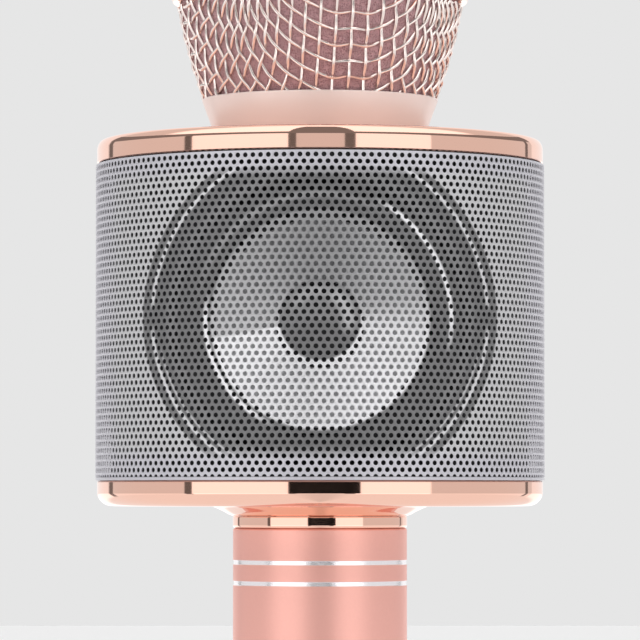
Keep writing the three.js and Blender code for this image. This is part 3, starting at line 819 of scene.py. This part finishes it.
def build_keys():
    for node in KEYS:
        low, high = box_mm(node)
        z = middle_z(node)
        face_r = -low.y - 0.05
        shape = key_shape(key_radius(node), z, face_r, high.y)
        piece(f"{node}_cap", shape, plated, node, node, 50)
        prints = []
        for outline in key_mark(node, z):
            reach = max(abs(x) for x, _ in outline)
            front = -math.sqrt(face_r**2 - reach**2) - PRINT_RISE
            prints.append(prism(outline, front, front + 0.35))
        piece(f"{node}_mark", joined(*prints), white_print, node)


def build_faders():
    face = box_mm("control_panel")[0].y - 0.3
    for node, degrees in FADER_ANGLES.items():
        low, high = box_mm(node)
        z = middle_z(node)
        half = (high.z - low.z) / 2
        side = [
            (-half, 0), (-half, 0.9), (-half + 0.5, 1.25), (-0.9, 0.95), (-0.35, 0.8), (0, 1.55),
            (0.35, 0.8), (0.9, 0.95), (half - 0.5, 1.25), (half, 0.9), (half, 0),
        ]
        grip = swept(*([(x, face - h, z + dz) for dz, h in side] for x in (-1.8, 1.8)))
        lever = block((-0.5, face - 0.2, z - 1.2), (0.5, -12, z + 1.2))
        cap = piece(f"{node}_cap", spun(joined(grip, lever), degrees), plated, node, node)
        soften(cap, 0.12)


def build_status_light():
    low, high = box_mm("status_light")
    z = middle_z("status_light")
    front = -low.y
    profile = [
        (0, -high.y), (0.9, -high.y), (0.9, front - 0.25),
        *outline_arc(0.4, front - 0.3, 0.5, 0, 75, 6), (0, front + 0.22),
    ]
    vertices, faces = turned(profile, 32)
    lens = [(x, -h, z + y) for x, y, h in vertices], faces
    piece("status_lens", lens, lamp, "handle", "status_light", 60)


# ---------- Drum ----------

CAP_R = 41.0
CAP_BORE_R = 40.4  # where the grille's ends sit
LIP_CHAMFER = 0.25
DRUM_BASE_Z = 128.6
CONE_FLARE = [(0.2, -1.75), (0.9, -1.48), (1.6, -1.05), (2.4, -0.68), (3.2, -0.32), (4.2, 0)]
UPPER_LIP_Z = 191.4
TOP_RIM_R = CAP_R + 0.1
SHOULDER_RUN = 1.2
SHOULDER_RISE = 1.85
DRUM_TOP_Z = 195.75
TOP_DISC_Z = 196.7
ROOF_Z = 194.8  # underside of the drum's roof
SATIN_MARGIN = 1.4  # plated border around the satin disc
SPIGOT_BORE_R = 14.8
LEAD_HOLE_R = 6
THREAD_ROOT_R = 17.0
THREAD_CREST_R = 17.6
THREAD_PITCH = 1.5
THREAD_TURNS = 2.6
THREAD_STEPS = 96  # sections along one turn


def build_bottom_cap():
    lip = box_mm("bottom_cap")[1].z - 1.5
    neck_r = box_mm("neck_ring")[1].x
    base = DRUM_BASE_Z
    bore = neck_r - 4
    crease = base + 2.32
    outer = [
        (bore, 113), (14.2, 113), (14.2, base - 1.8),
        *[(neck_r + run, base + rise) for run, rise in CONE_FLARE],
        *outline_arc(CAP_R - 2.75, base + 2.8, 2.8, -90, -11, 14), (CAP_R, crease),
        (CAP_R, crease + 0.05), (CAP_R, lip - LIP_CHAMFER), (CAP_R - LIP_CHAMFER, lip),
    ]
    inner = [
        (CAP_BORE_R, lip), (CAP_BORE_R, lip + 1.4), (39, lip + 1.4),
        (39, base + 1.1), (bore, base + 1.1),
    ]
    surfaces = [plated, rim_black]
    cap = piece("drum_base", turned(outer + inner), surfaces, "handle", "bottom_cap", 20)
    inside_r = CAP_BORE_R + 0.05
    paint(cap, 1, lambda r, z: z > lip - 0.01 or (z > base + 1.05 and r < inside_r))


def thread_ridge(start_z):
    """A ridge that winds up the spigot and fades out at both ends."""
    vertices, faces = [], []
    last = int(THREAD_TURNS * THREAD_STEPS)
    fade = THREAD_STEPS // 8
    root = THREAD_ROOT_R - 0.2
    for i in range(last + 1):
        a, z = TAU * i / THREAD_STEPS, start_z + THREAD_PITCH * i / THREAD_STEPS
        share = min(1, i / fade, (last - i) / fade)
        crest = THREAD_ROOT_R + (THREAD_CREST_R - THREAD_ROOT_R) * share
        for r, rise in ((root, -0.5), (crest, -0.12), (crest, 0.12), (root, 0.5)):
            vertices.append((r * math.cos(a), r * math.sin(a), z + rise))
    for k in range(0, 4 * last, 4):
        faces += [(k + n, k + (n + 1) % 4, k + 4 + (n + 1) % 4, k + 4 + n) for n in range(4)]
    faces += [(0, 1, 2, 3), (4 * last + 3, 4 * last + 2, 4 * last + 1, 4 * last)]
    return vertices, faces


def build_top_cap():
    lip, disc = UPPER_LIP_Z, TOP_DISC_Z
    spigot_top = box_mm("top_cap")[1].z
    angles = np.radians(np.linspace(0, 86, 18))
    corner = [
        (TOP_RIM_R - SHOULDER_RUN * (1 - math.cos(a)), DRUM_TOP_Z - SHOULDER_RISE * (1 - math.sin(a)))
        for a in angles
    ]
    outer = [
        (TOP_RIM_R - LIP_CHAMFER, lip), (TOP_RIM_R, lip + LIP_CHAMFER), *corner, (20.6, disc),
        (THREAD_ROOT_R, disc), (THREAD_ROOT_R, spigot_top - 0.3), (THREAD_ROOT_R - 0.3, spigot_top),
        (SPIGOT_BORE_R, spigot_top), (SPIGOT_BORE_R, disc), (LEAD_HOLE_R, disc), (LEAD_HOLE_R, ROOF_Z),
    ]
    inner = [(38.9, ROOF_Z - 0.2), (38.9, lip - 1.4), (CAP_BORE_R, lip - 1.4), (CAP_BORE_R, lip)]
    surfaces = [plated, rim_black, disc_satin]
    cap = piece("drum_top", turned(outer + inner), surfaces, "handle", "top_cap")
    inside_r = CAP_BORE_R + 0.05
    paint(cap, 1, lambda r, z: z < lip + 0.01 or (z < ROOF_Z + 0.1 and r < inside_r))
    paint(cap, 2, lambda r, z: z > DRUM_TOP_Z and r < CAP_R - SATIN_MARGIN)
    piece("head_thread", thread_ridge(disc + 1), plated, "handle")


HOLE_COLUMNS = 184
HOLE_ROWS = 48
HOLE_R = 0.45
HOLE_SIDES = 10
SHEET_THICK = 0.2
EDGE_DROP = 0.07  # how far the punch draws in the rim of each hole
SEAM_COLUMNS = 3  # plain columns at the back, where the sheet's two ends meet
FOOT_MARGIN = 0.4  # plain sheet below the middle of the first row of holes
HEAD_MARGIN = 0.7


def cell_outlines(half_width, half_height, is_first):
    """The border of a cell of the sheet and the rim of its hole, about its middle. A border has six
    corners, so that rows half a cell apart share their points. The first row is made of upper halves."""
    if is_first:
        turns = [i / HOLE_SIDES for i in range(HOLE_SIDES // 2 + 1)]
        border = [(half_width, 0)]
    else:
        turns = [(i + 0.5) / HOLE_SIDES for i in range(HOLE_SIDES)]
        border = [(half_width, -half_height)]
    rim = [(HOLE_R * math.cos(TAU * t), HOLE_R * math.sin(TAU * t)) for t in turns]
    border += [(half_width, half_height), (0, half_height), (-half_width, half_height)]
    border += [(-half_width, 0)] if is_first else [(-half_width, -half_height), (0, -half_height)]
    return border, rim


def stitch(border, rim, closed):
    """Triangles between a border and a rim, both anticlockwise. A corner is (outline, place in it)."""
    start = math.atan2(border[0][1], border[0][0])

    def turn(point):
        angle = math.atan2(point[1], point[0])
        return (angle - start) % TAU if closed else angle

    outer = [(turn(point), ("border", k)) for k, point in enumerate(border)]
    inner = sorted((turn(point), ("rim", k)) for k, point in enumerate(rim))
    if closed:
        outer.append((TAU, ("border", 0)))
        inner.append((inner[0][0] + TAU, inner[0][1]))
    triangles = []
    i = j = 0
    while i < len(outer) - 1 or j < len(inner) - 1:
        if j == len(inner) - 1 or (i < len(outer) - 1 and outer[i + 1][0] <= inner[j + 1][0]):
            triangles.append((outer[i][1], outer[i + 1][1], inner[j][1]))
            i += 1
        else:
            triangles.append((outer[i][1], inner[j + 1][1], inner[j][1]))
            j += 1
    return triangles


class Sheet:
    """A thin curved sheet with two skins. A point is (along the circle, height, depth below the skin)."""

    def __init__(self, radius):
        self.radius = radius
        self.points = []
        self.index = {}
        self.faces = []

    def vertex(self, point, outside):
        along, z, depth = point
        key = (round(along * 1000), round(z * 1000), outside)
        if key not in self.index:
            r = self.radius - (depth if outside else SHEET_THICK)
            bearing = along / self.radius - math.pi / 2
            self.index[key] = len(self.points)
            self.points.append((r * math.cos(bearing), r * math.sin(bearing), z))
        return self.index[key]

    def patch(self, corners):
        """Both skins between corners given anticlockwise from outside."""
        self.faces.append([self.vertex(p, True) for p in corners])
        self.faces.append([self.vertex(p, False) for p in reversed(corners)])

    def wall(self, a, b):
        """The cut edge from one point to the next, across the thickness."""
        corners = ((a, True), (a, False), (b, False), (b, True))
        self.faces.append([self.vertex(point, outside) for point, outside in corners])

    def cell(self, border, rim, triangles, is_first):
        outlines = {"border": border, "rim": rim}
        for triangle in triangles:
            self.patch([outlines[kind][k] for kind, k in triangle])
        for i in range(len(rim) - 1):
            self.wall(rim[i + 1], rim[i])
        if is_first:
            self.wall(border[-1], rim[-1])
            self.wall(rim[0], border[0])
        else:
            self.wall(rim[0], rim[-1])


def build_grille(surface):
    low, high = box_mm("speaker_grille")
    radius = high.x
    width = TAU * radius / HOLE_COLUMNS
    bottom_row = low.z + FOOT_MARGIN
    pitch = (high.z - HEAD_MARGIN - bottom_row) / (HOLE_ROWS - 1)
    patterns = {}
    for is_first in (True, False):
        border, rim = cell_outlines(width / 2, pitch / 2, is_first)
        patterns[is_first] = (border, rim, stitch(border, rim, not is_first))
    quarter = HOLE_COLUMNS // 4
    for q in range(4):
        sheet = Sheet(radius)
        for row in range(HOLE_ROWS):
            z = bottom_row + row * pitch
            flat_border, flat_rim, triangles = patterns[row == 0]
            for k in range(quarter):
                column = q * quarter + k + (row % 2) / 2
                border = [(column * width + x, z + y, 0) for x, y in flat_border]
                rim = [(column * width + x, z + y, EDGE_DROP) for x, y in flat_rim]
                if abs(column - HOLE_COLUMNS / 2) > SEAM_COLUMNS / 2:
                    sheet.cell(border, rim, triangles, row == 0)
                    continue
                sheet.patch(border)
                if row == 0:
                    sheet.wall(border[-1], border[0])
        top = z + pitch / 2
        edge = z + HEAD_MARGIN + 0.1
        for k in range(2 * quarter):
            start = (q * quarter + (k + row % 2 - 1) / 2) * width
            end = start + width / 2
            sheet.patch([(start, top, 0), (end, top, 0), (end, edge, 0), (start, edge, 0)])
            sheet.wall((end, edge, 0), (start, edge, 0))
        obj = mesh_object(f"grille_sheet_{q + 1}", sheet.points, sheet.faces)
        obj.data.validate()
        dress(obj, surface, "handle", "speaker_grille", 30)
    foot = low.z - 0.23
    strip = [
        (radius - 0.75, foot), (radius - 0.12, foot), (radius - 0.05, foot + 0.06),
        (radius - 0.05, foot + 0.52), (radius - 0.12, foot + 0.58), (radius - 0.75, foot + 0.58),
    ]
    piece("grille_foot_strip", turned(strip), surface, "handle")


# ---------- Loudspeaker ----------

# Profiles about the loudspeaker's axis: [radius, distance in front of the baffle].
TRIM = [
    (27.2, 1.45), (27.9, 1.45), (27.9, 1.95), (30.7, 1.95), (30.7, 2.15),
    *outline_arc(30.35, 2.15, 0.35, 0, 90, 5), (29.5, 2.5), (29.2, 2.15), (27.6, 2.15), (27.2, 2.3),
]
ROLL = [
    (26.7, 0.2), (26.7, 0.6), *outline_arc(23.1, 0.6, 3.1, 0, 168, 20),
    *outline_arc(23.1, 0.2, 2.75, 168, 0, 20),
]
LANDING = [(18.7, 0.1), (19.6, 0.22), (19.88, 0.42), (19.85, 0.7), (19.6, 0.8), (18.9, 0.62), (18.7, 0.4)]
FILM = [
    (6.95, -5.9), (13, -3.55), (19.9, -0.7), (19.9, -0.15),
    (19.2, -0.2), (13, -2.95), (6.95, -5.3),
]
COIL = [(6, -15.5), (6.7, -15.5), (6.7, -6.1), (6, -6.1)]
DOME_WIDTH = 7.6
DOME_RISE = 3.4
DOME_FOOT = -4.75
BAFFLE_GAP = 0.2


def speaker_centre():
    low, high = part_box("speaker_trim")
    return Vector(((low.x + high.x) / 2, high.y, (low.z + high.z) / 2))


def driver_piece(name, profile, surface, body, replaces=None, facets=FINE, sharp=32):
    """A piece turned about the loudspeaker's axis, with its profile's heights towards the front."""
    centre = speaker_centre()
    centre.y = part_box("front_housing")[0].y - BAFFLE_GAP * MM
    cx, cy, cz = (c / MM for c in centre)
    vertices, faces = turned(profile, facets)
    shape = [(cx + x, cy - z, cz + y) for x, y, z in vertices], faces
    piece(name, shape, surface, body, replaces, sharp)


def build_driver():
    film = cone_surface(speaker_centre())
    bearings = np.linspace(0, math.pi / 2, 14)
    dome = [(DOME_WIDTH * math.sin(a), DOME_FOOT + DOME_RISE * math.cos(a)) for a in bearings]
    dome[0] = (0, dome[0][1])
    dome += [(7.9, DOME_FOOT), (7.9, DOME_FOOT - 0.2), (0, DOME_FOOT - 0.2)]
    driver_piece("trim_ring", TRIM, trim_black, "handle", "speaker_trim", 128)
    driver_piece("surround_roll", ROLL, rubber, "handle", "surround", 128, 40)
    driver_piece("surround_landing", LANDING, rubber, "cone")
    driver_piece("cone_film", FILM, film, "cone", "cone", 128, 50)
    driver_piece("dust_dome", dome, rubber, "cone", "dust_cap", sharp=60)
    driver_piece("voice_coil_winding", COIL, copper, "cone", "voice_coil")


# ---------- Head ----------

WIRE_R = 0.28
WIRE_WAVE = 0.28
WIRE_SIDES = 6
WIRE_STEPS = 6  # points along a wire from one crossing to the next
WIRE_PITCH = 2.95
NET_LEAD = 24.3  # arc length from the virtual pole of the lower bowl to the foot of the ball
NET_TURN = 13.5  # degrees by which the net is turned about the axis
POLE_SHARE = 0.82  # radius of the lower bowl's foot over that of the ball in its place
NET_SPARE = 9  # how far the net is laid out beyond the band before it is trimmed
SHELL_INSET = 0.50  # from the ball's outer surface to the middle of the weave
RECESS = 0.9  # how deep the foot of the ball sits in the collar
COLLAR_BORE_R = 17.9
COLLAR_BASE_R = 19.6
FOOT_R = 21.5  # the ball's outline: at its foot, the bulge between, and at its equator
BULGE = (25.2, 213.0)
EQUATOR_R = 26.5
FOAM_HOLLOW = [(0, 229.5), (9, 229.0), (15.6, 226.0), (15.6, 204.9)]


def waist_curve(inset, dip):
    """The lower half of the ball: points of a quadratic curve from its foot up to the band."""
    base, band = box_mm("ball_grille_lower")[0].z - dip, box_mm("ball_band")[0].z - 0.2
    a, b, c = (FOOT_R - inset, base), (BULGE[0] - inset, BULGE[1]), (EQUATOR_R - inset, band)
    t = np.linspace(0, 1, 60)[:, None]
    return (1 - t) ** 2 * np.array(a) + 2 * t * (1 - t) * np.array(b) + t**2 * np.array(c)


def dome_curve(inset):
    """The upper half: points from the top of the ball down to the band."""
    base, top = box_mm("ball_band")[1].z + 0.2, box_mm("ball_grille_upper")[1].z
    a = np.linspace(math.pi / 2, 0, 60)
    return np.stack([(EQUATOR_R - inset) * np.cos(a), base + (top - inset - base) * np.sin(a)], 1)


class TurnedSurface:
    """A turned surface measured by arc length from its pole. A ball stands for what is cut away near it."""

    def __init__(self, curve, lead):
        steps = np.linalg.norm(np.diff(curve, axis=0), axis=1)
        along = lead + np.concatenate([[0], np.cumsum(steps)])
        self.first, self.last = lead, along[-1]
        beyond = curve[-1] + (curve[-1] - curve[-2]) / steps[-1] * NET_SPARE
        curve = np.concatenate([curve, [beyond]])
        along = np.append(along, self.last + NET_SPARE)
        if lead:
            ball_r = curve[0, 0] / POLE_SHARE
            angles = np.linspace(0, lead / ball_r, 30)[:-1]
            side = np.sign(curve[0, 1] - curve[-1, 1])
            z = curve[0, 1] + side * ball_r * (np.cos(angles) - math.cos(lead / ball_r))
            curve = np.concatenate([np.stack([ball_r * np.sin(angles), z], 1), curve])
            along = np.concatenate([angles * ball_r, along])
        self.along, self.curve = along, curve
        self.slope = np.gradient(curve, along, axis=0)
        self.side = 1 if curve[-1, 1] > curve[0, 1] else -1

    def point(self, s, bearing):
        r, z = (np.interp(s, self.along, self.curve[:, n]) for n in (0, 1))
        return np.array([r * math.cos(bearing), r * math.sin(bearing), z])

    def normal(self, s, bearing):
        dr, dz = (np.interp(s, self.along, self.slope[:, n]) * self.side for n in (0, 1))
        normal = np.array([dz * math.cos(bearing), dz * math.sin(bearing), -dr])
        return normal / np.linalg.norm(normal)


def net_crossing(surface, a, b):
    """The next crossing of the net, one cell away from both of its neighbours: [arc length, bearing]."""
    s, bearing = (a[0] + b[0]) / 2 + WIRE_PITCH * 0.7, (a[1] + b[1]) / 2
    neighbours = surface.point(*a), surface.point(*b)
    step = 1e-3

    def miss(s, bearing):
        here = surface.point(s, bearing)
        return np.array([np.linalg.norm(here - p) - WIRE_PITCH for p in neighbours])

    for _ in range(12):
        here = miss(s, bearing)
        along, around = miss(s + step, bearing) - here, miss(s, bearing + step) - here
        slope = np.stack([along / step, around / step], 1)
        move = np.linalg.lstsq(slope, -here, rcond=1e-3)[0]
        s += np.clip(move[0], -1, 1)
        bearing += np.clip(move[1], -0.1, 0.1)
    return s, bearing


def draped_net(surface):
    """Crossings in one quarter of a square net draped from the pole: every cell keeps four equal sides."""
    limit = surface.last + NET_SPARE - WIRE_PITCH
    count = int(limit / WIRE_PITCH)
    grid = {}
    for i in range(count):
        grid[i, 0] = (i * WIRE_PITCH, 0.0)
        grid[0, i] = (i * WIRE_PITCH, math.pi / 2)
    for i in range(1, count):
        for j in range(1, count):
            a, b = grid.get((i - 1, j)), grid.get((i, j - 1))
            if a and b and max(a[0], b[0]) < limit:
                grid[i, j] = net_crossing(surface, a, b)
    return grid, count


def crossing(grid, i, j):
    """A crossing in any quarter of the net, laid flat about the pole, or None beyond its edge."""
    if (abs(i), abs(j)) not in grid:
        return None
    s, bearing = grid[abs(i), abs(j)]
    x, y = s * math.cos(bearing), s * math.sin(bearing)
    return np.array([-x if i < 0 else x, -y if j < 0 else y])


def eased(before, a, b, after, t):
    """A point of the smooth curve from a to b that also heeds the points on either side."""
    bend = (2 * before - 5 * a + 4 * b - after) * t**2 + (3 * a - before - 3 * b + after) * t**3
    return (2 * a + (b - before) * t + bend) / 2


def wire_runs(line, surface, turn, phase):
    """The stretches of one wire on the surface, as lists of (position, surface normal). The wire waves over
    and under the ones it crosses."""
    run = []
    for m, (a, b) in enumerate(zip(line, line[1:])):
        if a is None or b is None:
            continue
        before = line[m - 1] if m and line[m - 1] is not None else a
        after = line[m + 2] if m + 2 < len(line) and line[m + 2] is not None else b
        for n in range(WIRE_STEPS):
            x, y = eased(before, a, b, after, n / WIRE_STEPS)
            s, bearing = math.hypot(x, y), math.atan2(y, x) + turn
            if surface.first <= s <= surface.last:
                normal = surface.normal(s, bearing)
                lift = math.cos(math.pi * (m + n / WIRE_STEPS + phase)) * WIRE_WAVE
                run.append((surface.point(s, bearing) + lift * normal, normal))
            elif run:
                yield run
                run = []
    if run:
        yield run


def rod(run):
    """A round rod through a run of (position, surface normal)."""
    centre = np.array([p for p, _ in run])
    normal = np.array([n for _, n in run])
    tangent = np.gradient(centre, axis=0)
    tangent /= np.linalg.norm(tangent, axis=1)[:, None]
    side = np.cross(tangent, normal)
    side /= np.linalg.norm(side, axis=1)[:, None]
    lift = np.cross(side, tangent)
    vertices, faces = [], []
    n = WIRE_SIDES
    section = circle(1, n)
    for p, u, v in zip(centre, side, lift):
        vertices += [tuple(p + WIRE_R * (across * u + out * v)) for across, out in section]
    for a in range(0, len(vertices) - n, n):
        faces += [(a + i, a + (i + 1) % n, a + n + (i + 1) % n, a + n + i) for i in range(n)]
    last = len(vertices) - n
    faces += [tuple(range(n)), tuple(range(last, last + n))[::-1]]
    return vertices, faces


def woven(curve, lead):
    """Wires of a plain weave along the lines of a draped net."""
    surface = TurnedSurface(curve, lead)
    grid, count = draped_net(surface)
    reach = range(-count + 1, count)
    rods = []
    for k in reach:
        for is_cross in (0, 1):
            line = [crossing(grid, k, m) if is_cross else crossing(grid, m, k) for m in reach]
            for run in wire_runs(line, surface, math.radians(NET_TURN), count - 1 + k + is_cross):
                if len(run) > 3:
                    rods.append(rod(run))
    return joined(*rods)


def build_head():
    low, high = box_mm("head_collar")
    base_r, top_r, top_z = COLLAR_BASE_R, high.x, high.z
    collar = [
        (COLLAR_BORE_R, low.z), (base_r - 0.25, low.z),
        *outline_arc(base_r - 0.3, low.z + 0.3, 0.3, -80, -15, 4),
        *outline_arc(top_r - 0.2, top_z - 0.2, 0.2, -10, 90, 6),
        (top_r - 0.25, top_z - RECESS), (COLLAR_BORE_R, top_z - RECESS),
    ]
    piece("head_collar_plated", turned(collar), satin_rose, "head", "head_collar")
    low, high = box_mm("ball_band")
    r = high.x
    band = [
        (r - 1.5, low.z), (r - 0.5, low.z), *outline_arc(r - 0.5, low.z + 0.5, 0.5, -90, 0, 5),
        *outline_arc(r - 0.5, high.z - 0.5, 0.5, 0, 90, 5), (r - 1.5, high.z),
    ]
    piece("ball_band_plated", turned(band), plated, "head", "ball_band")
    lower = woven(waist_curve(SHELL_INSET, RECESS), NET_LEAD - RECESS)
    upper = woven(dome_curve(SHELL_INSET), 0.0)
    piece("ball_weave_lower", lower, wire, "head", "ball_grille_lower", 60)
    piece("ball_weave_upper", upper, wire, "head", "ball_grille_upper", 60)
    build_foam()


def build_foam():
    inset = SHELL_INSET + WIRE_WAVE + 0.04
    outside = [*map(tuple, waist_curve(inset, RECESS - 0.1)[::3]), *map(tuple, dome_curve(inset)[::-3])]
    outside[-1] = (0, outside[-1][1])
    shape = turned(FOAM_HOLLOW + outside, FINE)
    foam = piece("foam_lining", shape, foam_surface(), "head", "foam_liner", 60)


def build_capsule():
    """The microphone capsule in its rubber cup. Both are seen when the head is off."""
    low, high = box_mm("capsule_mount")
    r, bore = high.x, 11.8
    waist = low.z + 10
    cup = [
        (2, low.z), (r - 0.3, low.z), (r, low.z + 0.3), (r, waist - 1.1), (r - 0.2, waist - 0.8),
        *outline_arc(r - 0.1, waist, 0.65, 250, 110, 8), (r - 0.2, waist + 0.8), (r, waist + 1.1),
        (r, high.z - 0.4), (r - 0.4, high.z), (bore + 0.3, high.z), (bore, high.z - 0.3),
        (bore, low.z + 3), (2, low.z + 3),
    ]
    piece("capsule_cup", turned(cup, FINE), rubber, "handle", "capsule_mount")
    low, high = box_mm("mic_capsule")
    r, neck = high.x, high.z - 3.9
    case = [
        (0, low.z), (r, low.z), (r, neck - 0.5), (r - 0.5, neck), (r, neck + 0.5), (r, high.z - 1.5),
        *outline_arc(r - 1.4, high.z - 1.4, 1.4, 0, 90, 8), (r - 2.4, high.z), (r - 2.7, high.z - 0.6),
        (0, high.z - 0.45),
    ]
    surfaces = [steel, rim_black]
    capsule = piece("capsule_case", turned(case, FINE), surfaces, "handle", "mic_capsule")
    paint(capsule, 1, lambda reach, z: z > neck and reach < r - 2.6)


# ---------- Carried-over parts ----------

# The CAD nodes that are shown as they are, by the ends of their names.
CARRIED = [
    (steel, ("port", "screw_1", "screw_2", "screw_3", "screw_4", "plate", "yoke", "pot")),
    (black_plastic, ("jack", "cradle", "housing", "frame", "switch")),
    (solder_mask, ("board",)),
    (jacket, ("lead",)),
    (wrap, ("cell",)),
    (cloth, ("spider",)),
    (ferrite, ("magnet",)),
    (rubber, ("gasket",)),
]


def dress_carried():
    for name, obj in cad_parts.items():
        for surface, endings in CARRIED:
            if name.endswith(endings):
                obj.data.materials.clear()
                obj.data.materials.append(surface)


scene.view_settings.view_transform = "Standard"
add_camera()
add_world()
add_floor()
build_handle()
build_end_cap()
build_neck_ring()
build_panel()
build_keys()
build_faders()
build_status_light()
build_bottom_cap()
build_top_cap()
build_grille(grille_surface(speaker_centre()))
build_driver()
build_head()
build_capsule()
dress_carried()
